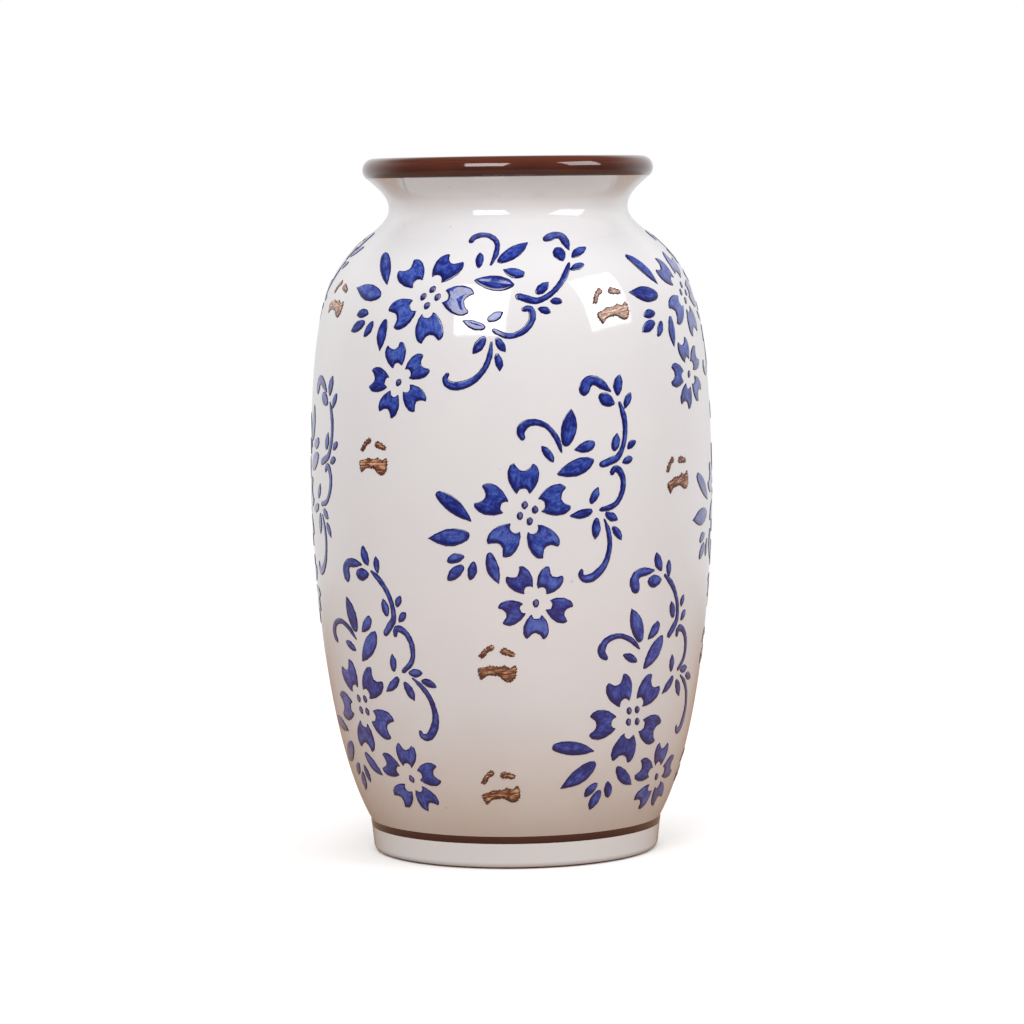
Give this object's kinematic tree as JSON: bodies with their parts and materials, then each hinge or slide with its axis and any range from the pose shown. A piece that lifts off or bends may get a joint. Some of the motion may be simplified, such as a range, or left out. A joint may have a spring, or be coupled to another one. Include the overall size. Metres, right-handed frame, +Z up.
{
  "type": "pottery vase",
  "caption": "Round-bodied glazed pottery vase with a short flared neck, rolled brown lip, turned foot and rows of blue enamel flower sprigs.",
  "frame": {"origin": "centre of the standing face, under the foot ring", "axes": "+Z up along the vase's axis; -Y is the decoration's front"},
  "size_m": [0.1364, 0.1364, 0.235],
  "materials": {
    "clay": "matt fired clay",
    "cream_glaze": "glossy tin glaze",
    "brown_glaze": "glossy",
    "dark_line": "glossy",
    "blue_enamel": "glossy, brushed by hand",
    "brown_enamel": "glossy, brushed by hand"
  },
  "bodies": {
    "root": {"clay_wall": "clay", "clay_floor": "clay", "foot_ring": "clay", "lip_roll": "clay", "outer_glaze": "cream_glaze", "inner_glaze": "cream_glaze", "lip_glaze": "brown_glaze", "foot_glaze": "cream_glaze", "foot_line": "dark_line", "top_sprig_1": "blue_enamel", "top_sprig_2": "blue_enamel", "top_sprig_3": "blue_enamel", "top_sprig_4": "blue_enamel", "middle_sprig_1": "blue_enamel", "middle_sprig_2": "blue_enamel", "middle_sprig_3": "blue_enamel", "middle_sprig_4": "blue_enamel", "bottom_sprig_1": "blue_enamel", "bottom_sprig_2": "blue_enamel", "bottom_sprig_3": "blue_enamel", "bottom_sprig_4": "blue_enamel", "top_marks": "brown_enamel", "middle_marks": "brown_enamel", "lower_marks": "brown_enamel", "foot_marks": "brown_enamel"}
  },
  "joints": []
}
